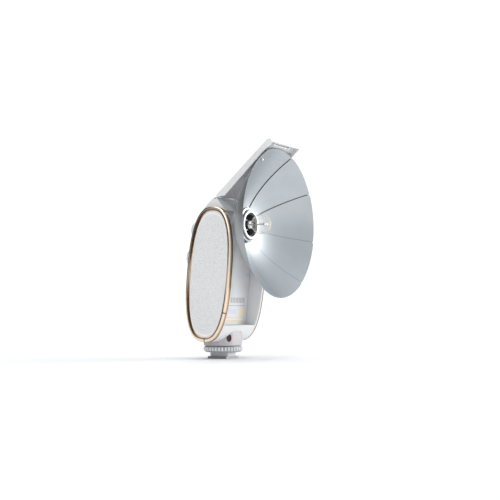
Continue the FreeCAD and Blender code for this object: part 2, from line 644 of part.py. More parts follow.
def make_rear_controls():
    """Test button, mode dial, power switch, ready lamp and sync socket on the back."""
    make_test_button()
    make_mode_dial()
    make_power_switch()
    radius = size("jack_radius")
    x, along = size("ready_lamp_x"), size("button_along")
    lamp = Part.makeCylinder(radius, half_depth_at(along) + 0.7 - 12, Vector(x, 12, along), Y_AXIS)
    crown = [edge for edge in lamp.Edges if edge.BoundBox.YMin > 15 and edge.BoundBox.YLength < 0.01]
    feature("ready_lamp", lamp.makeFillet(0.9, crown[:1]), case_frame)
    x, along, bore = size("jack_x"), size("jack_along"), size("jack_depth")
    mouth = half_depth_at(along) - 0.6
    jack = Part.makeCylinder(radius, bore + 2, Vector(x, mouth - bore - 2, along), Y_AXIS)
    jack = jack.cut(Part.makeCylinder(size("jack_bore"), bore, Vector(x, mouth - bore, along), Y_AXIS))
    feature("sync_socket", jack, case_frame)


def make_test_button():
    """Round button with a flange inside the case that keeps it in, and the switch that it presses."""
    x, along, radius = size("control_x"), size("button_along"), size("button_radius")
    face = half_depth_at(along) + size("button_proud")
    stop = 13.4
    button = Part.makeCylinder(radius, face - stop, Vector(x, stop, along), Y_AXIS)
    rim = [edge for edge in button.Edges if abs(edge.BoundBox.YMin - face) < 0.01]
    button = button.makeFillet(1.2, rim[:1])
    flange = Part.makeCylinder(radius + 0.6, 0.8, Vector(x, stop - 0.8, along), Y_AXIS)
    feature("test_button", button.fuse(flange).removeSplitter(), case_frame)
    feature("button_switch", bar((x - 3, 7.0, along - 3), (6, 3.6, 6)), case_frame)


def make_mode_dial():
    """Fluted dial with a pointer groove, on a shaft that turns in the encoder behind the case wall."""
    x, along, radius = size("control_x"), size("dial_along"), size("dial_radius")
    height, count = size("dial_height"), int(size("dial_flutes"))
    seat = half_depth_at(along - radius) + size("fit_gap")
    dial = Part.makeCylinder(radius, height, Vector(x, seat, along), Y_AXIS)
    rim = [edge for edge in dial.Edges if abs(edge.BoundBox.YMin - seat - height) < 0.01]
    dial = dial.makeFillet(0.7, rim[:1])
    for turn in range(count):
        flute = Part.makeCylinder(0.45, height - 1, Vector(x + radius + 0.15, seat + 0.6, along), Y_AXIS)
        flute.rotate(Vector(x, 0, along), Y_AXIS, turn * 360 / count)
        dial = dial.cut(flute)
    pointer = bar((x - 0.4, seat + height - 0.5, along + 2.0), (0.8, 2, 4.0))
    feature("mode_dial", dial.cut(pointer), case_frame)
    encoder = 13.0
    shaft = Part.makeCylinder(size("shaft_radius"), seat - encoder, Vector(x, encoder, along), Y_AXIS)
    feature("dial_shaft", shaft, case_frame)
    feature("dial_encoder", bar((x - 5, encoder - 5, along - 5), (10, 4.6, 10)), case_frame)


def make_power_switch():
    """Slide switch: a ribbed thumb piece outside, its stem through the case's slot, and the switch body."""
    x, along = size("control_x"), size("switch_along")
    seat = half_depth_at(along) + size("fit_gap")
    height, ribs, body_front = size("thumb_height"), 4, 14.0
    stem = bar((x - 2.4, body_front, along - 5.4), (4.8, seat - body_front, 6.0))
    thumb = bar((x - 3.6, seat, along - 6.0), (7.2, height, 7.2))
    for step in range(ribs):
        thumb = thumb.cut(bar((x - 4, seat + height - 0.5, along - 4.9 + step * 1.5), (8, 1, 0.6)))
    feature("power_switch", stem.fuse(thumb).removeSplitter(), case_frame)
    feature("switch_body", bar((x - 4, body_front - 6, along - 7), (8, 5.6, 12)), case_frame)


def make_inside():
    """Power and trigger parts inside the case, and the small plate in the recess with its deck's screws."""
    base = size("inside_floor")
    board = bar((-21, size("board_face"), base), (42, 1.6, 62))
    feature("main_board", board, case_frame)
    cell = Part.makeCylinder(size("cell_radius"), size("cell_length"), Vector(14.5, 4.6, base), Z_AXIS)
    feature("battery_cell", cell, case_frame)
    capacitor = Part.makeCylinder(size("capacitor_radius"), size("capacitor_length"),
                                  Vector(-1.5, 5.2, base + 1), Z_AXIS)
    feature("flash_capacitor", capacitor, case_frame)
    feature("trigger_coil", Part.makeCylinder(4.5, 12, Vector(14, 2, 13), Z_AXIS), case_frame)
    floor = size("recess_floor")
    feature("rating_plate", bar((-20, floor - 0.35, -38), (40, 0.3, 30)), case_frame)
    screws = []
    for x in (-20.5, 20.5):
        for along in (1.0, 20.0):
            head = Part.makeCylinder(1.7, 0.8, Vector(x, floor - 0.05, along), -Y_AXIS)
            slot = bar((x - 0.3, floor - 1.5, along - 1.4), (0.6, 1.0, 2.8))
            cross = bar((x - 1.4, floor - 1.5, along - 0.3), (2.8, 1.0, 0.6))
            screws.append(head.cut(slot).cut(cross))
    feature("deck_screws", Part.makeCompound(screws), case_frame)


def check_and_write():
    """Stop on any failed object or bad shape, then write one STEP file for each sub-part."""
    doc.recompute()
    failed = [obj.Name for obj in doc.Objects if {"Invalid", "Error"} & set(obj.State)]
    bad = [obj.Label for obj in parts if obj.Shape.isNull() or not obj.Shape.isValid()]
    if failed or bad:
        raise RuntimeError(f"failed objects {failed}, bad shapes {bad}")
    os.makedirs("parts", exist_ok=True)
    for obj in parts:
        obj.Shape.exportStep(f"parts/{obj.Label}.step")
        print(f"{obj.Label:18s} solids {len(obj.Shape.Solids)}  volume {obj.Shape.Volume:9.1f} mm3")


make_case()
make_sides()
make_shoulder()
make_cover()
make_neck()
make_foot()
make_lamp()
make_petals()
make_rear_controls()
make_inside()
check_and_write()
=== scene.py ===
import math

import bmesh
import bpy
import numpy as np
from mathutils import Euler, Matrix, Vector


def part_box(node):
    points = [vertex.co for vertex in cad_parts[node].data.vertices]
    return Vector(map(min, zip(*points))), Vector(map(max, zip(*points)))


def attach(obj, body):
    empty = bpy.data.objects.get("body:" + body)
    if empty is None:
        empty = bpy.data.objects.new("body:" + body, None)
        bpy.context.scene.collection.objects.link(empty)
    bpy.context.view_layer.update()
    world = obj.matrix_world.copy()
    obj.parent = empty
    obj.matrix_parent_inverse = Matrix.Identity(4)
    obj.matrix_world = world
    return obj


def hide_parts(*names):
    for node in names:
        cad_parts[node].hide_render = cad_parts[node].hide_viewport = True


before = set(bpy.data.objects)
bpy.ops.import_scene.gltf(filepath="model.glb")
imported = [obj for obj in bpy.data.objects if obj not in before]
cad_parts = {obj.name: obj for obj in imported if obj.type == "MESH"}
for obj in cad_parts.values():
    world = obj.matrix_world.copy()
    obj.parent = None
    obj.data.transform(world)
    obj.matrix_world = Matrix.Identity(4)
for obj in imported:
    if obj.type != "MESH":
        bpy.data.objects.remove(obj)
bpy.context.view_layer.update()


# ---------------------------------------------------------------- floor, light and camera
# A white paper floor in a white room with one dim end. A softbox on the far right fills the bowl, one
# overhead whitens the floor, and one at the left lights the grip panel.

def linear(colour):
    """'#rrggbb' in sRGB as a linear RGBA tuple."""
    parts = [int(colour[place:place + 2], 16) / 255 for place in (1, 3, 5)]
    return tuple(c / 12.92 if c <= 0.04045 else ((c + 0.055) / 1.055) ** 2.4 for c in parts) + (1.0,)


def add(tree, kind, inputs=None, **settings):
    """Add a shader node: 'settings' are its properties, 'inputs' are values or output sockets to link."""
    node = tree.nodes.new("ShaderNode" + kind)
    for name, value in settings.items():
        setattr(node, name, value)
    for name, value in (inputs or {}).items():
        if isinstance(value, bpy.types.NodeSocket):
            tree.links.new(value, node.inputs[name])
        else:
            node.inputs[name].default_value = value
    return node


def material(name):
    """A new node material with only its output; returns the material, its tree and the surface socket."""
    made = bpy.data.materials.new(name)
    made.use_nodes = True
    tree = made.node_tree
    tree.nodes.clear()
    output = tree.nodes.new("ShaderNodeOutputMaterial")
    return made, tree, output.inputs["Surface"]


def piece_from_grid(name, points, close_u=False, close_v=False):
    """Mesh object from an array of points shaped (u, v, 3). Each cell is one quad; closed ways wrap round."""
    rows, columns = points.shape[:2]
    index = np.arange(rows * columns).reshape(rows, columns)
    if close_u:
        index = np.vstack([index, index[:1]])
    if close_v:
        index = np.hstack([index, index[:, :1]])
    quads = np.stack([index[:-1, :-1], index[1:, :-1], index[1:, 1:], index[:-1, 1:]], axis=-1)
    mesh = bpy.data.meshes.new(name)
    mesh.from_pydata(points.reshape(-1, 3).tolist(), [], quads.reshape(-1, 4).tolist())
    return finished(name, mesh)


def finished(name, mesh):
    """Object of a mesh: doubles merged, faces outwards, edges under 40 degrees shaded smooth."""
    work = bmesh.new()
    work.from_mesh(mesh)
    bmesh.ops.remove_doubles(work, verts=work.verts, dist=2e-6)
    bmesh.ops.dissolve_degenerate(work, edges=work.edges, dist=1e-7)
    bmesh.ops.recalc_face_normals(work, faces=work.faces)
    work.to_mesh(mesh)
    work.free()
    mesh.shade_smooth()
    mesh.set_sharp_from_angle(angle=math.radians(40))
    obj = bpy.data.objects.new(name, mesh)
    bpy.context.scene.collection.objects.link(obj)
    return obj


def softbox(name, at, aim, size, watts):
    """A rectangular area lamp at one point, turned to face another."""
    lamp = bpy.data.lights.new(name, "AREA")
    lamp.shape = "RECTANGLE"
    lamp.size, lamp.size_y = size
    lamp.energy = watts
    obj = bpy.data.objects.new(name, lamp)
    obj.location = at
    obj.rotation_euler = (Vector(aim) - Vector(at)).to_track_quat("-Z", "Y").to_euler()
    bpy.context.scene.collection.objects.link(obj)


def make_floor():
    """Paper, six metres to each side; it glows by a smoothstep of the distance from the part."""
    across, along = np.meshgrid(np.linspace(-6.0, 6.0, 25), np.linspace(-6.0, 6.0, 25), indexing="ij")
    floor = piece_from_grid("floor", np.stack([across, along, 0 * across], axis=-1))
    paper, tree, surface = material("white_paper")
    grain = add(tree, "TexNoise", {"Scale": 900.0, "Detail": 4.0})
    bump = add(tree, "Bump", {"Height": grain.outputs["Fac"], "Strength": 0.05, "Distance": 0.0002})
    shader = add(tree, "BsdfPrincipled", {
        "Base Color": linear("#FCFCFC"), "Roughness": 0.9, "Specular IOR Level": 0.2,
        "Normal": bump.outputs["Normal"]})
    away = add(tree, "VectorMath", {0: add(tree, "TexCoord").outputs["Object"]}, operation="LENGTH")
    share = add(tree, "MapRange", {"Value": away.outputs["Value"], "From Min": GLOW_FROM,
                                   "From Max": GLOW_FULL}, interpolation_type="SMOOTHSTEP")
    glow = add(tree, "Emission", {"Color": linear("#FFFFFF"), "Strength": 1.05})
    mixed = add(tree, "MixShader", {0: share.outputs["Result"], 1: shader.outputs["BSDF"],
                                    2: glow.outputs["Emission"]})
    tree.links.new(mixed.outputs["Shader"], surface)
    floor.data.materials.append(paper)


def make_room():
    """White walls to look at; as light, an even room with one dim end, for dark lines along the trim."""
    world = bpy.data.worlds.new("white_room")
    world.use_nodes = True
    tree = world.node_tree
    tree.nodes.clear()
    way = add(tree, "TexCoord").outputs["Generated"]
    share = add(tree, "VectorMath", {0: way, 1: ROOM_DIM_WAY}, operation="DOT_PRODUCT")
    level = add(tree, "MapRange", {
        "Value": share.outputs["Value"], "From Min": 0.35, "From Max": 0.9,
        "To Min": ROOM_BRIGHT, "To Max": ROOM_DIM}, interpolation_type="SMOOTHSTEP")
    light = add(tree, "Background", {"Color": linear("#F6F9FC"), "Strength": level.outputs["Result"]})
    walls = add(tree, "Background", {"Color": linear("#FFFFFF"), "Strength": 1.1})
    seen = add(tree, "LightPath").outputs["Is Camera Ray"]
    mixed = add(tree, "MixShader", {0: seen, 1: light.outputs["Background"], 2: walls.outputs["Background"]})
    output = tree.nodes.new("ShaderNodeOutputWorld")
    tree.links.new(mixed.outputs["Shader"], output.inputs["Surface"])
    bpy.context.scene.world = world


GLOW_FROM, GLOW_FULL = 0.10, 0.35       # distances at which the floor's own glow starts and is full
ROOM_DIM_WAY = (-0.15, 0.96, 0.22)      # the dim end of the room lies behind the case
ROOM_DIM, ROOM_BRIGHT = 0.06, 0.80

CAMERA_BEARING = math.radians(57.7)     # from straight in front, round to the lamp's left
CAMERA_DISTANCE = 0.826
CAMERA_HEIGHT = 0.0437
CAMERA_TURN = math.radians(-1.55)       # off the foot's axis
CAMERA_TILT = math.radians(3.2)         # upwards
CAMERA_LENS = 71.4

camera = bpy.data.objects.new("camera", bpy.data.cameras.new("camera"))
camera.data.lens = CAMERA_LENS
camera.data.clip_start = 0.01
camera.location = (-CAMERA_DISTANCE * math.sin(CAMERA_BEARING), -CAMERA_DISTANCE * math.cos(CAMERA_BEARING),
                   CAMERA_HEIGHT)
camera.rotation_euler = Euler((math.pi / 2 + CAMERA_TILT, 0, CAMERA_TURN - CAMERA_BEARING))
bpy.context.scene.collection.objects.link(camera)
bpy.context.scene.camera = camera

make_floor()
make_room()
softbox("bowl_softbox", (0.92, -0.98, 0.30), (0, -0.03, 0.11), (0.8, 0.8), 12)
softbox("top_softbox", (0.0, 0.1, 1.7), (0, 0, 0.1), (1.4, 1.4), 11)
softbox("left_softbox", (-1.5, -0.1, 0.8), (0, 0, 0.08), (0.9, 0.9), 5)
bpy.context.scene.view_settings.view_transform = "Standard"


# ---------------------------------------------------------------- grip panels
# A stamped plate wrapped in pale leatherette on each side of the case. The cloth-backed vinyl is
# embossed with a pebble grain, crowned slightly, and its edge is rolled under inside the trim ring.

CASE_LEAN = math.radians(5.2)
CASE_HALF_DEPTH, CASE_HALF_HEIGHT, CASE_POWER = 0.0207, 0.0548, 2.61
TRIM_WIDTH = 0.0031
GRIP_GAP = 0.0002                       # between the panel's edge and the trim
GRIP_CROWN, GRIP_ROLL = 0.00035, 0.0007
case_low, case_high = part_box("left_cheek")
CASE_CENTRE = (case_low + case_high) / 2


def leaned(x, depth, along):
    """Points of the case's own leaning frame (x, depth to the back, height along it) in the row frame."""
    y = CASE_CENTRE.y + depth * math.cos(CASE_LEAN) - along * math.sin(CASE_LEAN)
    z = CASE_CENTRE.z + depth * math.sin(CASE_LEAN) + along * math.cos(CASE_LEAN)
    return np.stack(np.broadcast_arrays(x, y, z), axis=-1)


def outline(angle, inset):
    """Superellipse |depth/a|^n + |along/b|^n = 1 at a parameter angle, with both half-axes less an inset."""
    cosine, sine = np.cos(angle), np.sin(angle)
    depth = (CASE_HALF_DEPTH - inset) * np.sign(cosine) * np.abs(cosine) ** (2 / CASE_POWER)
    along = (CASE_HALF_HEIGHT - inset) * np.sign(sine) * np.abs(sine) ** (2 / CASE_POWER)
    return depth, along


def even_angles(count, inset):
    """Parameter angles round the outline that are evenly spaced by arc length."""
    fine = np.linspace(0, 2 * np.pi, 4001)
    depth, along = outline(fine, inset)
    length = np.concatenate([[0], np.cumsum(np.hypot(np.diff(depth), np.diff(along)))])
    return np.interp(np.linspace(0, length[-1], count, endpoint=False), length, fine)


def make_leatherette():
    """Embossed vinyl: pebbles of 0.5 mm, drawn at 0.8 mm so that they show, with painted shade in the hollows
    between them; smooth where UV y nears 1.
    """
    made, tree, surface = material("embossed_leatherette")
    place = add(tree, "TexCoord").outputs["Object"]
    to_rim = add(tree, "UVMap", uv_map="panel").outputs["UV"]
    across = add(tree, "SeparateXYZ", {"Vector": to_rim})
    margin = add(tree, "MapRange", {"Value": across.outputs["Y"], "From Min": 0.955, "From Max": 0.925})
    wander = add(tree, "TexNoise", {"Vector": place, "Scale": 500.0, "Detail": 2.0})
    bent = add(tree, "MixRGB", {"Fac": 0.0009, "Color1": place, "Color2": wander.outputs["Color"]})
    pebble = add(tree, "TexVoronoi", {"Vector": bent.outputs["Color"], "Scale": 1250.0, "Randomness": 0.95})
    fine = add(tree, "TexNoise", {"Vector": place, "Scale": 3200.0, "Detail": 3.0})
    height = add(tree, "Math", {0: pebble.outputs["Distance"], 1: margin.outputs["Result"]},
                 operation="MULTIPLY")
    low = add(tree, "Math", {0: height.outputs["Value"], 1: -1.0}, operation="MULTIPLY")
    relief = add(tree, "Bump", {"Height": low.outputs["Value"], "Strength": 0.5, "Distance": 0.00025})
    skin = add(tree, "Bump", {"Height": fine.outputs["Fac"], "Strength": 0.1, "Distance": 0.0001,
                              "Normal": relief.outputs["Normal"]})
    # painted shade: the tone darkens with the relief's depth, in the hollows between the pebbles
    tone = add(tree, "ValToRGB", {"Fac": height.outputs["Value"]})
    tone.color_ramp.elements[0].color = linear("#EEEEED")
    tone.color_ramp.elements[1].color = linear("#CFD0D1")
    tone.color_ramp.elements[1].position = 0.9
    rough = add(tree, "MapRange", {"Value": fine.outputs["Fac"], "To Min": 0.48, "To Max": 0.68})
    shader = add(tree, "BsdfPrincipled", {
        "Base Color": tone.outputs["Color"], "Roughness": rough.outputs["Result"], "IOR": 1.5,
        "Sheen Weight": 0.15, "Normal": skin.outputs["Normal"]})
    tree.links.new(shader.outputs["BSDF"], surface)
    return made


def set_uv(obj, layer, values):
    """UV map of an object from one pair of numbers for each vertex."""
    corners = np.empty(len(obj.data.loops), dtype=np.int32)
    obj.data.loops.foreach_get("vertex_index", corners)
    made = obj.data.uv_layers.new(name=layer)
    made.data.foreach_set("uv", np.asarray(values)[corners].ravel())


def vertices_of(obj):
    """Places of all the vertices of an object, one row each."""
    place = np.empty(len(obj.data.vertices) * 3)
    obj.data.vertices.foreach_get("co", place)
    return place.reshape(-1, 3)


def in_case(place):
    """Points of the row frame as (x, depth to the back, height along) of the case's leaning frame."""
    y, z = place[:, 1] - CASE_CENTRE.y, place[:, 2] - CASE_CENTRE.z
    depth = y * math.cos(CASE_LEAN) + z * math.sin(CASE_LEAN)
    along = z * math.cos(CASE_LEAN) - y * math.sin(CASE_LEAN)
    return place[:, 0], depth, along


def make_grip(side, name, finish):
    """Filled superellipse of rings at a share t of the outline; height = crown (1 - t^2) - roll edge^2."""
    share = np.concatenate([np.linspace(0.0, 0.9, 28), 1 - 0.1 * (1 - np.linspace(0, 1, 12)) ** 1.6])[1:]
    depth, along = outline(even_angles(220, TRIM_WIDTH), TRIM_WIDTH + GRIP_GAP)
    edge = np.clip((share - 0.965) / 0.035, 0, 1)
    lift = GRIP_CROWN * (1 - share ** 2) - GRIP_ROLL * edge ** 2
    corner = 0 if side < 0 else 1
    foot = abs(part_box(f"{name}_cheek")[corner].x)
    face = abs(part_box(f"{name}_grip_panel")[corner].x) - GRIP_CROWN
    front = leaned(side * (face + lift)[:, None], share[:, None] * depth, share[:, None] * along)
    skirt = leaned(side * foot, depth[None, :], along[None, :])
    poles = [leaned(side * height, 0 * depth[None, :], 0 * along[None, :])
             for height in (face + GRIP_CROWN, foot)]
    grip = piece_from_grid(f"{name}_leatherette", np.concatenate([poles[0], front, skirt, poles[1]]),
                           close_v=True)
    x, depth, along = in_case(vertices_of(grip))
    reach = (np.abs(depth / (CASE_HALF_DEPTH - TRIM_WIDTH)) ** CASE_POWER
             + np.abs(along / (CASE_HALF_HEIGHT - TRIM_WIDTH)) ** CASE_POWER) ** (1 / CASE_POWER)
    set_uv(grip, "panel", np.stack([0 * reach, reach], axis=-1))
    grip.data.materials.append(finish)
    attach(grip, "case")
    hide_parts(f"{name}_grip_panel")


leatherette = make_leatherette()
for side, name in ((-1, "left"), (1, "right")):
    make_grip(side, name, leatherette)


# ---------------------------------------------------------------- trim rings
# A rose-gold anodised aluminium rim frames each grip panel. It is extruded, bent round the case and
# butted in two lengths, so a fine joint shows low on the front edge and another under the case.

FRONT_JOINT = -0.0299                   # height along the case of the joint low on the front edge
LOWER_JOINT = -0.0017                   # depth of the joint under the case
JOINT_GAP = 0.0001
RIM_STEP = 0.0011                       # spacing of the sections along the rim
RIM_HEIGHT = 0.0022
SKIRTS = {-1: 0.0012, 1: 0.0003}        # how far each rim laps down over the edge of its cheek


def make_rose_gold():
    """Polished anodised aluminium: a warm mirror, dark at the joints; across its section a painted shadow at
    the foot, a painted highlight in cream over the shoulder, and painted shade on the inner bevel.
    """
    made, tree, surface = material("rose_gold_anodised_aluminium")
    place = add(tree, "TexCoord").outputs["Object"]
    stretched = add(tree, "Mapping", {"Vector": place, "Scale": (1.0, 0.25, 0.12)})
    polish = add(tree, "TexNoise", {"Vector": stretched.outputs["Vector"], "Scale": 3000.0, "Detail": 3.0})
    cloud = add(tree, "TexNoise", {"Vector": place, "Scale": 90.0, "Detail": 2.0})
    rough = add(tree, "MapRange", {"Value": cloud.outputs["Fac"], "To Min": 0.14, "To Max": 0.24})
    bump = add(tree, "Bump", {"Height": polish.outputs["Fac"], "Strength": 0.04, "Distance": 0.0001})
    section = add(tree, "UVMap", uv_map="section").outputs["UV"]
    across = add(tree, "SeparateXYZ", {"Vector": section})
    # Painted light across the section: a painted shadow at the foot of the wall, a tan wall, a painted
    # highlight in cream over the shoulder and the flat, and painted shade on the inner bevel; the joints are
    # darkened below.
    tone = add(tree, "ValToRGB", {"Fac": across.outputs["Y"]})
    ramp = tone.color_ramp
    ramp.elements[0].position, ramp.elements[0].color = 0.07, linear("#1E120C")
    ramp.elements[1].position, ramp.elements[1].color = 0.12, linear("#C79C78")
    for position, colour in ((0.34, "#DDB998"), (0.50, "#F6E8D6"), (0.84, "#EFD9C0"), (0.93, "#5E4332")):
        ramp.elements.new(position).color = linear(colour)
    near = add(tree, "MapRange", {"Value": across.outputs["X"], "From Min": 0.45, "From Max": 0.3})
    seam = add(tree, "MixRGB", {"Fac": near.outputs["Result"], "Color1": tone.outputs["Color"],
                                "Color2": linear("#24160F")})
    shader = add(tree, "BsdfPrincipled", {
        "Base Color": seam.outputs["Color"], "Metallic": 1.0, "Roughness": rough.outputs["Result"],
        "Normal": bump.outputs["Normal"]})
    tree.links.new(shader.outputs["BSDF"], surface)
    return made


def trim_profile(skirt):
    """Section of the rim as (inset, height): lapped foot, wall, rounded shoulder, flat, inner bevel."""
    turn = np.linspace(0, np.pi / 2, 11)
    shoulder, bevel = 0.0014, 0.0004
    foot = np.array([[-0.00016, -skirt], [-0.00016, 0.0001], [0.0, 0.0004]])
    outer = np.stack([shoulder * (1 - np.cos(turn)), RIM_HEIGHT - shoulder + shoulder * np.sin(turn)],
                     axis=-1)
    inner = np.array([[TRIM_WIDTH - bevel, RIM_HEIGHT], [TRIM_WIDTH - 0.0001, RIM_HEIGHT - bevel],
                      [TRIM_WIDTH, 0.0004], [TRIM_WIDTH, 0.0], [0.0002, 0.0], [0.0002, -skirt]])
    return np.concatenate([foot, outer, inner])


def joint_angle(find, wanted, start, end):
    """Parameter angle between two limits at which a coordinate of the outline has a wanted value."""
    angle = np.linspace(start, end, 2001)
    value = outline(angle, 0.0)[find]
    order = np.argsort(value)
    return float(np.interp(wanted, value[order], angle[order]))


def make_trim(side, name, start, end, label, finish):
    """The section carried along the outline between two parameter angles, with flat closed ends.

    UV: x = distance to the nearer joint in mm, y = 0.55 x height share + 0.45 x share of the width.
    """
    wanted = np.linspace(start, end, 4001)
    depth, along = outline(wanted, 0.0)
    length = np.concatenate([[0], np.cumsum(np.hypot(np.diff(depth), np.diff(along)))])
    count = max(24, int(length[-1] / RIM_STEP))
    stations = np.linspace(JOINT_GAP, length[-1] - JOINT_GAP, count)
    ends = np.array([0.0002, 0.0004, 0.0006])
    stations = np.unique(np.concatenate([stations, ends, length[-1] - ends]))
    angle = np.interp(stations, length, wanted)
    skirt = SKIRTS[side]
    section = trim_profile(skirt)
    depth, along = outline(angle[:, None], section[None, :, 0])
    seat = abs(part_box(f"{name}_cheek")[0 if side < 0 else 1].x)
    body = leaned(side * (seat + section[None, :, 1]) + 0 * depth, depth, along)
    caps = [np.broadcast_to(row.mean(axis=0), row.shape)[None] for row in (body[0], body[-1])]
    ring = piece_from_grid(label, np.concatenate([caps[0], body, caps[1]]), close_v=True)
    x, depth, along = in_case(vertices_of(ring))
    height = (np.abs(x) - seat + skirt) / (RIM_HEIGHT + skirt)
    inset = 1 - (np.abs(depth / CASE_HALF_DEPTH) ** CASE_POWER
                 + np.abs(along / CASE_HALF_HEIGHT) ** CASE_POWER) ** (1 / CASE_POWER)
    inset = inset * np.hypot(depth, along) / TRIM_WIDTH
    to_joint = np.full(len(depth), 5.0)
    for joint in (start, end):
        here, there = outline(joint, 0.0), outline(joint + 0.002, 0.0)
        forward = np.subtract(there, here) / np.hypot(*np.subtract(there, here))
        reach = np.hypot(depth - here[0], along - here[1])
        offset = np.abs((depth - here[0]) * forward[0] + (along - here[1]) * forward[1])
        to_joint = np.where(reach < 0.004, np.minimum(to_joint, offset * 1000), to_joint)
    across = np.clip(0.55 * height + 0.45 * inset, 0, 1)
    set_uv(ring, "section", np.stack([to_joint, across], axis=-1))
    ring.data.materials.append(finish)
    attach(ring, "case")
    return ring


rose_gold = make_rose_gold()
front_joint = joint_angle(1, FRONT_JOINT, np.pi, 1.5 * np.pi)
lower_joint = joint_angle(0, LOWER_JOINT, np.pi, 1.5 * np.pi)
for side, name in ((-1, "left"), (1, "right")):
    long_rim = make_trim(side, name, lower_joint, front_joint + 2 * np.pi, f"{name}_rim", rose_gold)
    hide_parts(f"{name}_trim_ring")
    short_rim = make_trim(side, name, front_joint, lower_joint, f"{name}_rim_segment", rose_gold)
    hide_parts(f"{name}_trim_segment")


# ---------------------------------------------------------------- petals
# Nine thin aluminium leaves, pressed to the bowl's curve, satin anodised on the face. Each has a hub
# ring on the sleeve behind the bezel, and overlaps the leaf behind it by a few degrees.

hub_low, hub_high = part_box("hub_bezel")
LAMP_AXIS = (hub_low + hub_high) / 2
BOWL_RADIUS, BOWL_DEPTH, BOWL_POWER = 0.06028, 0.0336, 2.075
BOWL_RIM = 0.0530                       # rim plane of petal 1, forward of the foot
PETAL_PITCH, PETAL_SHEET = 0.00036, 0.00016
PETAL_BORE, PETAL_RING, PETAL_CORNER = 0.0111, 0.0142, 0.0026
PETAL_COUNT = 9
FIRST_EDGE, PETAL_OVERLAP = 68.9, 1.8
LAP_SHADOW_DARKNESS = {1: 0.3, 2: 0.95, 3: 0.85, 4: 0.3}     # darkness of the painted shadow along each leaf's upper edge, where it lies over the leaf behind; 4 and up alike


def on_lamp(radius, angle, forward):
    """Cylindrical points about the lamp's axis, in the row frame; the angle runs from +X up towards +Z."""
    x = radius * np.cos(angle)
    z = LAMP_AXIS.z + radius * np.sin(angle)
    return np.stack(np.broadcast_arrays(x, -forward, z), axis=-1)


def make_petal_metal():
    """Satin anodised aluminium: spun lines, 0.15 mm apart but drawn at 0.3 mm, and a painted shadow along
    each leaf's upper edge, where it lies over the leaf behind.
    """
    made, tree, surface = material("satin_anodised_aluminium")
    place = add(tree, "TexCoord").outputs["Object"]
    centred = add(tree, "Mapping", {"Vector": place, "Location": (0, 0, -LAMP_AXIS.z), "Scale": (1, 0, 1)})
    distance = add(tree, "VectorMath", {0: centred.outputs["Vector"]}, operation="LENGTH")
    lines = add(tree, "TexNoise", {"W": distance.outputs["Value"], "Scale": 3300.0, "Detail": 2.0},
                noise_dimensions="1D")
    cloud = add(tree, "TexNoise", {"Vector": place, "Scale": 60.0, "Detail": 3.0})
    rough = add(tree, "MapRange", {"Value": lines.outputs["Fac"], "To Min": 0.34, "To Max": 0.48})
    tone = add(tree, "ValToRGB", {"Fac": cloud.outputs["Fac"]})
    tone.color_ramp.elements[0].color = linear("#B3B9BD")
    tone.color_ramp.elements[1].color = linear("#C0C5C9")
    # Painted shadow: a dark strip on each leaf within 0.9 mm of its upper edge, where it lies over the leaf
    # behind, as dark as the leaf's UV y.
    leaf = add(tree, "SeparateXYZ", {"Vector": add(tree, "UVMap", uv_map="leaf").outputs["UV"]})
    near = add(tree, "MapRange", {"Value": leaf.outputs["X"], "From Min": 0.9, "From Max": 0.45})
    dark = add(tree, "Math", {0: near.outputs["Result"], 1: leaf.outputs["Y"]}, operation="MULTIPLY")
    lap_shadow = add(tree, "MixRGB", {"Fac": dark.outputs["Value"], "Color1": tone.outputs["Color"],
                                 "Color2": linear("#17191D")})
    bump = add(tree, "Bump", {"Height": lines.outputs["Fac"], "Strength": 0.04, "Distance": 0.0001})
    shader = add(tree, "BsdfPrincipled", {
        "Base Color": lap_shadow.outputs["Color"], "Metallic": 1.0, "Roughness": rough.outputs["Result"],
        "Normal": bump.outputs["Normal"]})
    tree.links.new(shader.outputs["BSDF"], surface)
    return made


def thick_sheet(name, grids, thickness):
    """Sheet of one or more grids (points, wraps round), welded at shared edges and given a thickness."""
    corners, faces, start = [], [], 0
    for points, wraps in grids:
        rows, columns = points.shape[:2]
        index = start + np.arange(rows * columns).reshape(rows, columns)
        if wraps:
            index = np.hstack([index, index[:, :1]])
        faces.append(np.stack([index[:-1, :-1], index[:-1, 1:], index[1:, 1:], index[1:, :-1]],
                              axis=-1).reshape(-1, 4))
        corners.append(points.reshape(-1, 3))
        start += rows * columns
    mesh = bpy.data.meshes.new(name)
    mesh.from_pydata(np.concatenate(corners).tolist(), [], np.concatenate(faces).tolist())
    work = bmesh.new()
    work.from_mesh(mesh)
    bmesh.ops.remove_doubles(work, verts=work.verts, dist=2e-6)
    bmesh.ops.solidify(work, geom=work.faces[:] + work.edges[:] + work.verts[:], thickness=thickness)
    work.to_mesh(mesh)
    work.free()
    mesh.shade_smooth()
    mesh.set_sharp_from_angle(angle=math.radians(40))
    obj = bpy.data.objects.new(name, mesh)
    bpy.context.scene.collection.objects.link(obj)
    return obj


def petal_rim(angle, lower, upper):
    """Outer radius of the leaf at each angle: the rim, rounded at both corners by a quarter circle."""
    to_edge = np.minimum(angle - lower, upper - angle) * BOWL_RADIUS
    short = np.clip(PETAL_CORNER - to_edge, 0, PETAL_CORNER)
    return BOWL_RADIUS - PETAL_CORNER + np.sqrt(PETAL_CORNER ** 2 - short ** 2)


def bowl_sheet(radius, angle, number):
    """Front of a leaf: forward = vertex + depth * (r / rim) ^ power, each leaf a pitch ahead of the last."""
    vertex = BOWL_RIM - BOWL_DEPTH + (number - 1) * PETAL_PITCH
    return on_lamp(radius, angle, vertex + BOWL_DEPTH * (radius / BOWL_RADIUS) ** BOWL_POWER)


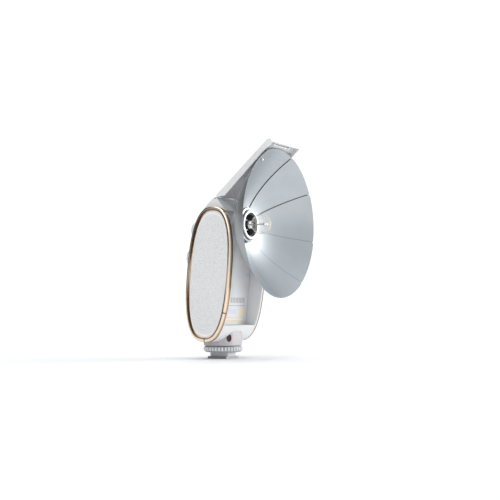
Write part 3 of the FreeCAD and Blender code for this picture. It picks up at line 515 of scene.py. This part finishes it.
def make_petal(number, finish):
    """A leaf and its hub ring, joined along the ring's edge and thickened to the sheet's gauge.

    UV: x = distance to the leaf's upper edge in mm (50 on the ring), y = how dark the painted shadow along
    that edge is.
    """
    sector = 2 * np.pi / PETAL_COUNT
    upper = math.radians(FIRST_EDGE) + sector * (2 - number)
    lower = upper - sector - math.radians(PETAL_OVERLAP)
    corner = PETAL_CORNER / BOWL_RADIUS
    ease = corner * (1 - np.cos(np.linspace(0, np.pi / 2, 9)))
    leaf_angle = np.concatenate([lower + ease, np.linspace(lower + corner, upper - corner, 40)[1:-1],
                                 (upper - ease)[::-1]])
    share = np.linspace(0, 1, 32)[:, None]
    radius = PETAL_RING + share * (petal_rim(leaf_angle, lower, upper) - PETAL_RING)[None, :]
    leaf = bowl_sheet(radius, np.broadcast_to(leaf_angle, radius.shape), number)
    ring_angle = np.concatenate([leaf_angle, np.linspace(upper, lower + 2 * np.pi, 66)[1:-1]])
    ring_radius = np.broadcast_to(np.linspace(PETAL_BORE, PETAL_RING, 4)[:, None], (4, ring_angle.size))
    ring = bowl_sheet(ring_radius, np.broadcast_to(ring_angle, ring_radius.shape), number)
    petal = thick_sheet(f"leaf_{number}", [(leaf, False), (ring, True)], PETAL_SHEET)
    place = vertices_of(petal)
    height = place[:, 2] - LAMP_AXIS.z
    behind = (upper - np.arctan2(height, place[:, 0]) + 0.01) % (2 * np.pi) - 0.01
    radius = np.hypot(place[:, 0], height)
    to_edge = np.where(radius > PETAL_RING * 1.02, behind * radius * 1000, 50)
    set_uv(petal, "leaf", np.stack([to_edge, 0 * to_edge + LAP_SHADOW_DARKNESS[min(number, 4)]], axis=-1))
    petal.data.materials.append(finish)
    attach(petal, "case" if number == 1 else f"petal_{number}")
    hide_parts(f"petal_{number}")


petal_metal = make_petal_metal()
for number in range(1, PETAL_COUNT + 1):
    make_petal(number, petal_metal)


# ---------------------------------------------------------------- hub bezel and finger stud
# A satin-chromed ring screws onto the sleeve and holds the petals' hub rings. A small polished steel
# ball is riveted to the front petal, so a finger can fold the fan.

def make_metal(name, colour, rough_low, rough_high, brush=(1.0, 1.0, 0.05)):
    """Worked metal: lines from brushing or turning, 0.1 mm but drawn at 0.3 mm, along one direction."""
    made, tree, surface = material(name)
    place = add(tree, "TexCoord").outputs["Object"]
    stretched = add(tree, "Mapping", {"Vector": place, "Scale": brush})
    lines = add(tree, "TexNoise", {"Vector": stretched.outputs["Vector"], "Scale": 3200.0, "Detail": 2.0})
    rough = add(tree, "MapRange", {"Value": lines.outputs["Fac"], "To Min": rough_low, "To Max": rough_high})
    bump = add(tree, "Bump", {"Height": lines.outputs["Fac"], "Strength": 0.08, "Distance": 0.0001})
    shader = add(tree, "BsdfPrincipled", {
        "Base Color": linear(colour), "Metallic": 1.0, "Roughness": rough.outputs["Result"],
        "Normal": bump.outputs["Normal"]})
    tree.links.new(shader.outputs["BSDF"], surface)
    return made


def make_satin_chrome():
    """Satin chrome plate: a neutral mirror, with painted shade in dark rings: dark inside 9.4 mm, at 9.8 and
    12.4 mm and past 14.3 mm.
    """
    made, tree, surface = material("satin_chrome_plate")
    place = add(tree, "TexCoord").outputs["Object"]
    cloud = add(tree, "TexNoise", {"Vector": place, "Scale": 700.0, "Detail": 3.0})
    rough = add(tree, "MapRange", {"Value": cloud.outputs["Fac"], "To Min": 0.2, "To Max": 0.34})
    bump = add(tree, "Bump", {"Height": cloud.outputs["Fac"], "Strength": 0.05, "Distance": 0.0001})
    around = add(tree, "Mapping", {"Vector": place, "Location": (0, 0, -LAMP_AXIS.z)})
    flat = add(tree, "Mapping", {"Vector": around.outputs["Vector"], "Scale": (1000, 0, 1000)})
    radius = add(tree, "VectorMath", {0: flat.outputs["Vector"]}, operation="LENGTH")
    share = add(tree, "Math", {0: radius.outputs["Value"], 1: 0.05}, operation="MULTIPLY")
    # painted shade: dark rings by radius, at the steps and the outer edge of the bezel's profile
    tone = add(tree, "ValToRGB", {"Fac": share.outputs["Value"]})
    ramp = tone.color_ramp
    ramp.elements[0].position, ramp.elements[0].color = 0.470, linear("#D4D8DB")
    ramp.elements[1].position, ramp.elements[1].color = 0.715, linear("#3C3F43")
    for position, colour in ((0.480, "#54575B"), (0.500, "#54575B"), (0.512, "#D4D8DB"), (0.600, "#D4D8DB"),
                             (0.610, "#4A4D51"), (0.628, "#4A4D51"), (0.640, "#C5CACD"), (0.695, "#C5CACD")):
        ramp.elements.new(position).color = linear(colour)
    shader = add(tree, "BsdfPrincipled", {
        "Base Color": tone.outputs["Color"], "Metallic": 1.0, "Roughness": rough.outputs["Result"],
        "Normal": bump.outputs["Normal"]})
    tree.links.new(shader.outputs["BSDF"], surface)
    return made


def turned_piece(name, profile, count):
    """Profile of (radius, forward) points turned about the lamp's axis; closed if it ends where it starts."""
    angle = np.linspace(0, 2 * np.pi, count, endpoint=False)[None, :]
    profile = np.asarray(profile)
    grid = on_lamp(profile[:, :1], angle, profile[:, 1:])
    closed = np.allclose(profile[0], profile[-1])
    return piece_from_grid(name, grid[:-1] if closed else grid, close_u=closed, close_v=True)


def rounded(points, radius):
    """Closed polygon with every corner rounded by (1 - t)^2 start + 2 t (1 - t) corner + t^2 end."""
    points = np.asarray(points, dtype=float)
    before = np.roll(points, 1, axis=0) - points
    after = np.roll(points, -1, axis=0) - points
    reach_before = np.minimum(radius, np.linalg.norm(before, axis=1) * 0.45)[:, None]
    reach_after = np.minimum(radius, np.linalg.norm(after, axis=1) * 0.45)[:, None]
    start = points + before / np.linalg.norm(before, axis=1)[:, None] * reach_before
    end = points + after / np.linalg.norm(after, axis=1)[:, None] * reach_after
    t = np.linspace(0, 1, 5)[None, :, None]
    curve = (1 - t) ** 2 * start[:, None] + 2 * t * (1 - t) * points[:, None] + t ** 2 * end[:, None]
    loop = curve.reshape(-1, 2)
    return np.vstack([loop, loop[:1]])


def make_stud(finish):
    """A ball on the front leaf: its middle lies along the bowl's normal (-f', 1) from the sheet."""
    slope = BOWL_DEPTH * BOWL_POWER / BOWL_RADIUS * (STUD_PLACE / BOWL_RADIUS) ** (BOWL_POWER - 1)
    lift = STUD_LIFT / math.hypot(1, slope)
    outward = np.array([math.cos(STUD_ANGLE), 0.0, math.sin(STUD_ANGLE)])
    seat = bowl_sheet(np.array([STUD_PLACE]), np.array([STUD_ANGLE]), PETAL_COUNT)[0]
    middle = seat - outward * slope * lift + np.array([0.0, -lift, 0.0])
    polar, turn = np.meshgrid(np.linspace(0, np.pi, 17), np.linspace(0, 2 * np.pi, 32, endpoint=False),
                              indexing="ij")
    ball = np.stack([np.sin(polar) * np.cos(turn), -np.cos(polar), np.sin(polar) * np.sin(turn)], axis=-1)
    stud = piece_from_grid("finger_stud", middle + STUD_RADIUS * ball, close_v=True)
    stud.data.materials.append(finish)
    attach(stud, "petal_9")
    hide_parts("fan_tab")


STUD_RADIUS, STUD_LIFT = 0.00115, 0.0012
STUD_PLACE, STUD_ANGLE = 0.0550, math.radians(114.8)
stud_steel = make_metal("polished_stud_steel", "#E4E6E8", 0.12, 0.24)
back_y, front_y = -hub_high.y, -hub_low.y
bezel_profile = rounded([
    (0.01065, back_y), (0.0145, back_y), (0.0145, back_y + 0.0011), (0.0128, back_y + 0.0015),
    (0.0124, back_y + 0.0019), (0.0116, front_y), (0.0101, front_y), (0.0093, front_y - 0.0008),
    (0.0093, back_y + 0.0021), (0.01065, back_y + 0.0021)], 0.0003)
bezel = turned_piece("bezel_ring", bezel_profile, 128)
bezel.data.materials.append(make_satin_chrome())
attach(bezel, "case")
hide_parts("hub_bezel")
make_stud(stud_steel)


# ---------------------------------------------------------------- bulb
# A clear blown-glass envelope on a drawn steel cap: a straight neck flows into a globe, which is drawn
# to a tip where it was sealed.

def make_clear_glass():
    """Thin clear glass, IOR 1.52: opacity is 0.10 square on and rises to 0.8 where it is seen edge on."""
    made, tree, surface = material("clear_soda_glass")
    place = add(tree, "TexCoord").outputs["Object"]
    wave = add(tree, "TexNoise", {"Vector": place, "Scale": 160.0, "Detail": 1.0})
    bump = add(tree, "Bump", {"Height": wave.outputs["Fac"], "Strength": 0.05, "Distance": 0.0003})
    edge = add(tree, "LayerWeight", {"Blend": 0.5})
    opacity = add(tree, "MapRange", {"Value": edge.outputs["Facing"], "From Min": 0.45, "To Min": 0.10,
                                     "To Max": 0.8}, interpolation_type="SMOOTHSTEP")
    shader = add(tree, "BsdfPrincipled", {
        "Base Color": linear("#F1ECDF"), "Roughness": 0.03, "IOR": 1.52, "Alpha": opacity.outputs["Result"],
        "Normal": bump.outputs["Normal"]})
    tree.links.new(shader.outputs["BSDF"], surface)
    return made


def bulb_outline(wall):
    """Section at a depth in the glass: a neck, then (r sin p, middle + r cos p), then the sealed tip."""
    radius, neck = BULB_RADIUS - wall, BULB_NECK - wall
    polar = np.linspace(np.pi - math.asin(neck / radius), 0.09, 40)
    ball = np.stack([radius * np.sin(polar), BULB_MIDDLE + radius * np.cos(polar)], axis=-1)
    neck_points = np.stack([np.full(6, neck), np.linspace(BULB_FOOT, ball[0, 1] - 0.0006, 6)], axis=-1)
    tip = np.array([[0.0004, BULB_MIDDLE + radius + 0.0002], [0.0, BULB_MIDDLE + radius + 0.0003]])
    return np.concatenate([neck_points, ball, tip])


glass_low, glass_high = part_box("bulb_glass")
BULB_RADIUS = (glass_high.x - glass_low.x) / 2 - 0.0001
BULB_MIDDLE = -glass_low.y - (glass_high.x - glass_low.x) / 2
BULB_FOOT = -glass_high.y
BULB_NECK, GLASS_WALL = 0.0033, 0.0003
glass_section = np.vstack([bulb_outline(0.0), bulb_outline(GLASS_WALL)[::-1][1:]])
envelope = turned_piece("bulb_envelope", glass_section, 72)
envelope.data.materials.append(make_clear_glass())
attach(envelope, "bulb")
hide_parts("bulb_glass")


# ---------------------------------------------------------------- locking ring
# The knurled ring is moulded in pale grey ABS: thirty-six upright ribs round a chamfered wheel, which
# screws down the stem and clamps the foot in its shoe.

def make_abs(name, colour, second, rough_low, rough_high):
    """Moulded ABS, IOR 1.53: a fine eroded skin, 0.25 mm but drawn at 0.5 mm, and slow changes of tone."""
    made, tree, surface = material(name)
    place = add(tree, "TexCoord").outputs["Object"]
    skin = add(tree, "TexNoise", {"Vector": place, "Scale": 2000.0, "Detail": 2.0})
    cloud = add(tree, "TexNoise", {"Vector": place, "Scale": 45.0, "Detail": 3.0})
    tone = add(tree, "ValToRGB", {"Fac": cloud.outputs["Fac"]})
    tone.color_ramp.elements[0].color = linear(colour)
    tone.color_ramp.elements[1].color = linear(second)
    rough = add(tree, "MapRange", {"Value": cloud.outputs["Fac"], "To Min": rough_low, "To Max": rough_high})
    bump = add(tree, "Bump", {"Height": skin.outputs["Fac"], "Strength": 0.06, "Distance": 0.0002})
    shader = add(tree, "BsdfPrincipled", {
        "Base Color": tone.outputs["Color"], "Roughness": rough.outputs["Result"], "IOR": 1.53,
        "Normal": bump.outputs["Normal"]})
    tree.links.new(shader.outputs["BSDF"], surface)
    return made


def make_knurled_grey():
    """The same ABS in pale grey, with painted shade: darker down between the ribs."""
    made, tree, surface = material("knurled_grey_abs")
    place = add(tree, "TexCoord").outputs["Object"]
    flat = add(tree, "Mapping", {"Vector": place, "Scale": (1, 1, 0)})
    distance = add(tree, "VectorMath", {0: flat.outputs["Vector"]}, operation="LENGTH")
    depth = add(tree, "MapRange", {"Value": distance.outputs["Value"], "From Min": RING_VALLEY,
                                   "From Max": RING_CREST})
    # painted shade: the tone darkens from the ribs' crests down to the valleys between them
    tone = add(tree, "ValToRGB", {"Fac": depth.outputs["Result"]})
    tone.color_ramp.elements[0].color = linear("#A9ACAF")
    tone.color_ramp.elements[1].color = linear("#E6E7E8")
    tone.color_ramp.elements[1].position = 0.8
    skin = add(tree, "TexNoise", {"Vector": place, "Scale": 2000.0, "Detail": 2.0})
    rough = add(tree, "MapRange", {"Value": skin.outputs["Fac"], "To Min": 0.38, "To Max": 0.5})
    bump = add(tree, "Bump", {"Height": skin.outputs["Fac"], "Strength": 0.06, "Distance": 0.0002})
    shader = add(tree, "BsdfPrincipled", {
        "Base Color": tone.outputs["Color"], "Roughness": rough.outputs["Result"], "IOR": 1.53,
        "Normal": bump.outputs["Normal"]})
    tree.links.new(shader.outputs["BSDF"], surface)
    return made


def make_ring():
    """Closed section turned round; radius = section + rib height x clip(0.5 + 1.1 cos(36 angle), 0, 1)."""
    low, high, bore = ring_low.z, ring_high.z, 0.00506
    section = np.array([
        [bore, low], [RING_VALLEY - 0.001, low], [RING_VALLEY, low + 0.0008], [RING_VALLEY, low + 0.001],
        [RING_VALLEY, low + 0.0013], [RING_VALLEY, high - 0.0013], [RING_VALLEY, high - 0.001],
        [RING_VALLEY, high - 0.0008], [RING_VALLEY - 0.001, high], [bore, high]])
    ribbed = np.array([0, 0, 0, 0, 1, 1, 0, 0, 0, 0])
    angle = np.linspace(0, 2 * np.pi, RIB_COUNT * 12, endpoint=False)
    wave = np.clip(0.5 + 1.1 * np.cos(RIB_COUNT * angle), 0, 1)
    radius = section[:, :1] + (RING_CREST - RING_VALLEY) * ribbed[:, None] * wave[None, :]
    grid = np.stack([radius * np.cos(angle), radius * np.sin(angle),
                     np.broadcast_to(section[:, 1:], radius.shape)], axis=-1)
    ring = piece_from_grid("knurled_ring", grid, close_u=True, close_v=True)
    ring.data.materials.append(make_knurled_grey())
    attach(ring, "locking_ring")
    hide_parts("locking_ring")


ring_low, ring_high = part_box("locking_ring")
RIB_COUNT = 36
RING_CREST = ring_high.x - 0.00005
RING_VALLEY = RING_CREST - 0.0009
make_ring()


# ---------------------------------------------------------------- plate in the recess
# A thin polyester label on the recess floor. It is printed with plain blocks and rules only, in grey,
# lilac and pale yellow.

BARRED = "#9A9DA0"
PRINT = (       # x from, x to, lowest, highest (millimetres in the case's frame), colour
    (-18.0, -6.0, -22.4, -18.0, BARRED), (-3.6, 19.0, -22.4, -18.0, BARRED),
    (-18.0, 19.0, -24.9, -24.4, "#A9ACAF"), (-18.0, 6.6, -31.5, -27.4, "#D2D3EC"),
    (10.6, 19.2, -32.0, -27.2, "#EBDFB8"), (-18.0, 19.2, -34.9, -34.1, "#E6D49E"),
    (-18.0, 19.2, -36.2, -35.7, "#EFE6C6"), (-18.0, 19.2, -37.7, -36.9, "#E6D49E"))


def make_label():
    """Printed polyester, IOR 1.6: each block is a box in the UV plane, in mm; the barred ones are cut up."""
    made, tree, surface = material("printed_polyester_label")
    place = add(tree, "SeparateXYZ", {"Vector": add(tree, "UVMap", uv_map="print").outputs["UV"]})
    x, along = place.outputs["X"], place.outputs["Y"]
    bars = add(tree, "Math", {0: x, 1: 0.42}, operation="MULTIPLY")
    bars = add(tree, "Math", {0: bars.outputs["Value"]}, operation="FRACT")
    bars = add(tree, "Math", {0: bars.outputs["Value"], 1: 0.55}, operation="LESS_THAN")
    colour = add(tree, "RGB").outputs["Color"]
    colour.default_value = linear("#DFE0E1")
    for left, right, low, high, ink in PRINT:
        inside = add(tree, "Value").outputs["Value"]
        inside.default_value = 1.0
        for value, limit, operation in ((x, left, "GREATER_THAN"), (x, right, "LESS_THAN"),
                                        (along, low, "GREATER_THAN"), (along, high, "LESS_THAN")):
            test = add(tree, "Math", {0: value, 1: limit}, operation=operation)
            inside = add(tree, "Math", {0: inside, 1: test.outputs["Value"]}, operation="MULTIPLY")
            inside = inside.outputs["Value"]
        if ink == BARRED:
            inside = add(tree, "Math", {0: inside, 1: bars.outputs["Value"]}, operation="MULTIPLY")
            inside = inside.outputs["Value"]
        mixed = add(tree, "MixRGB", {"Fac": inside, "Color1": colour, "Color2": linear(ink)})
        colour = mixed.outputs["Color"]
    grain = add(tree, "TexNoise", {"Vector": add(tree, "TexCoord").outputs["Object"], "Scale": 900.0})
    rough = add(tree, "MapRange", {"Value": grain.outputs["Fac"], "To Min": 0.35, "To Max": 0.5})
    shader = add(tree, "BsdfPrincipled", {
        "Base Color": colour, "Roughness": rough.outputs["Result"], "IOR": 1.6})
    tree.links.new(shader.outputs["BSDF"], surface)
    return made


def make_plate():
    """A rounded rectangle carried from the recess floor to its face; UV = place on the case in mm."""
    low, high, half, corner = -0.0380, -0.0080, 0.0200, 0.0012
    floor, thickness = -0.00752, 0.0003
    quarter = np.linspace(0, np.pi / 2, 6)
    centres = ((half, high), (-half, high), (-half, low), (half, low))
    turn = np.concatenate([quarter + index * np.pi / 2 for index in range(4)])
    middle_x = np.repeat([x - math.copysign(corner, x) for x, _ in centres], 6)
    middle_z = np.repeat([high - corner, high - corner, low + corner, low + corner], 6)
    x, along = middle_x + corner * np.cos(turn), middle_z + corner * np.sin(turn)
    rows = [leaned(x, depth, along)[None] for depth in (floor, floor - thickness)]
    caps = [leaned(0 * x, depth, 0 * along + (low + high) / 2)[None] for depth in (floor, floor - thickness)]
    plate = piece_from_grid("recess_label", np.concatenate([caps[0], *rows, caps[1]]), close_v=True)
    x, depth, along = in_case(vertices_of(plate))
    set_uv(plate, "print", np.stack([x, along], axis=-1) * 1000)
    plate.data.materials.append(make_label())
    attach(plate, "case")
    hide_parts("rating_plate")


make_plate()


# ---------------------------------------------------------------- mouldings, foot and controls
# The white case parts are injection-moulded ABS with a fine spark-eroded skin; every outside edge has
# a small moulded radius. The foot is stamped steel, and the controls are pale grey ABS. The inner
# pieces and metal fittings keep the shape of their CAD nodes.

def soften(node, body, finish, radius):
    """A piece from a copy of a CAD node: doubles merged, flat faces joined, and its sharp edges rounded."""
    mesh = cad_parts[node].data.copy()
    work = bmesh.new()
    work.from_mesh(mesh)
    bmesh.ops.remove_doubles(work, verts=work.verts, dist=5e-6)
    bmesh.ops.dissolve_limit(work, angle_limit=math.radians(0.5), verts=work.verts, edges=work.edges)
    work.to_mesh(mesh)
    work.free()
    mesh.name = node + "_moulding"
    mesh.materials.clear()
    mesh.materials.append(finish)
    mesh.shade_smooth()
    mesh.set_sharp_from_angle(angle=math.radians(35))
    obj = bpy.data.objects.new(node + "_moulding", mesh)
    bpy.context.scene.collection.objects.link(obj)
    edge = obj.modifiers.new("moulded_edge", "BEVEL")
    edge.width = radius
    edge.segments = 2
    edge.limit_method = "ANGLE"
    edge.angle_limit = math.radians(35)
    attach(obj, body)
    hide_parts(node)


def make_window():
    """Infrared-pass acrylic, IOR 1.49: near black, with a dull red glow where light gets through."""
    made, tree, surface = material("infrared_pass_acrylic")
    place = add(tree, "TexCoord").outputs["Object"]
    cloud = add(tree, "TexNoise", {"Vector": place, "Scale": 300.0, "Detail": 1.0})
    tone = add(tree, "ValToRGB", {"Fac": cloud.outputs["Fac"]})
    tone.color_ramp.elements[0].color = linear("#1C0A10")
    tone.color_ramp.elements[1].color = linear("#52222C")
    rough = add(tree, "MapRange", {"Value": cloud.outputs["Fac"], "To Min": 0.06, "To Max": 0.14})
    shader = add(tree, "BsdfPrincipled", {
        "Base Color": tone.outputs["Color"], "Roughness": rough.outputs["Result"], "IOR": 1.49})
    tree.links.new(shader.outputs["BSDF"], surface)
    return made


abs_white = make_abs("moulded_white_abs", "#DEDFE0", "#E5E5E6", 0.32, 0.42)
abs_grey = make_abs("moulded_pale_grey_abs", "#D3D5D8", "#DCDEE0", 0.38, 0.5)
# painted shade: the neck housing is of the white ABS, drawn in a darker warm grey for the shade that falls on
# it
abs_white_shaded = make_abs("white_abs_painted_shade", "#B5B1B3", "#C0BCBE", 0.36, 0.46)
abs_black = make_abs("moulded_black_abs", "#303338", "#3C3F45", 0.35, 0.5)
steel = make_metal("brushed_steel", "#B4B5B8", 0.25, 0.42)
dull_steel = make_metal("stamped_steel", "#8C8E90", 0.36, 0.5)
brass = make_metal("turned_brass", "#C9AE6A", 0.2, 0.35)

for node, radius in (("rear_shell", 0.00015), ("front_deck", 0.00025), ("left_cheek", 0.0004),
                     ("right_cheek", 0.0004), ("hinge_shoulder", 0.0002)):
    soften(node, "case", abs_white, radius)
# the neck housing in the white ABS with painted shade
soften("neck_housing", "case", abs_white_shaded, 0.0003)
soften("cover", "cover", abs_white, 0.0003)
soften("cover_catch", "cover", abs_white, 0.00015)
soften("lamp_housing", "case", abs_grey, 0.0003)
soften("bulb_yoke", "case", abs_white, 0.0002)
soften("sensor_window", "case", make_window(), 0.00015)
soften("test_button", "test_button", abs_grey, 0.0002)
soften("mode_dial", "mode_dial", abs_grey, 0.0001)
soften("power_switch", "power_switch", abs_grey, 0.0002)
soften("foot_block", "case", abs_grey, 0.0002)
soften("foot_plate", "case", dull_steel, 0.0002)

board_green = make_abs("solder_mask_green", "#1F5A3A", "#2A6B47", 0.3, 0.45)
cell_wrap = make_abs("battery_wrap_blue", "#2A4C8A", "#33589B", 0.25, 0.4)
capacitor_sleeve = make_abs("capacitor_sleeve_black", "#1B1C20", "#25272C", 0.3, 0.45)
coil_copper = make_metal("enamelled_copper", "#B87448", 0.25, 0.4, (0.1, 1.0, 1.0))
amber_lens = make_abs("amber_lens", "#C9701E", "#D88330", 0.12, 0.2)

for node, finish in (("main_board", board_green), ("battery_cell", cell_wrap), ("trigger_coil", coil_copper),
                     ("flash_capacitor", capacitor_sleeve), ("ready_lamp", amber_lens),
                     ("foot_stem", steel), ("lock_pin", steel), ("hinge_pin", steel),
                     ("dial_shaft", steel), ("hub_sleeve", steel), ("bulb_cap", steel),
                     ("bulb_electrodes", steel), ("fan_rivet", stud_steel), ("deck_screws", abs_white),
                     ("foot_contact", brass), ("socket_contacts", brass), ("sync_socket", brass),
                     ("lamp_socket", abs_black), ("button_switch", abs_black), ("dial_encoder", abs_black),
                     ("switch_body", abs_black)):
    cad_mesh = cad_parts[node].data
    cad_mesh.materials.clear()
    cad_mesh.materials.append(finish)
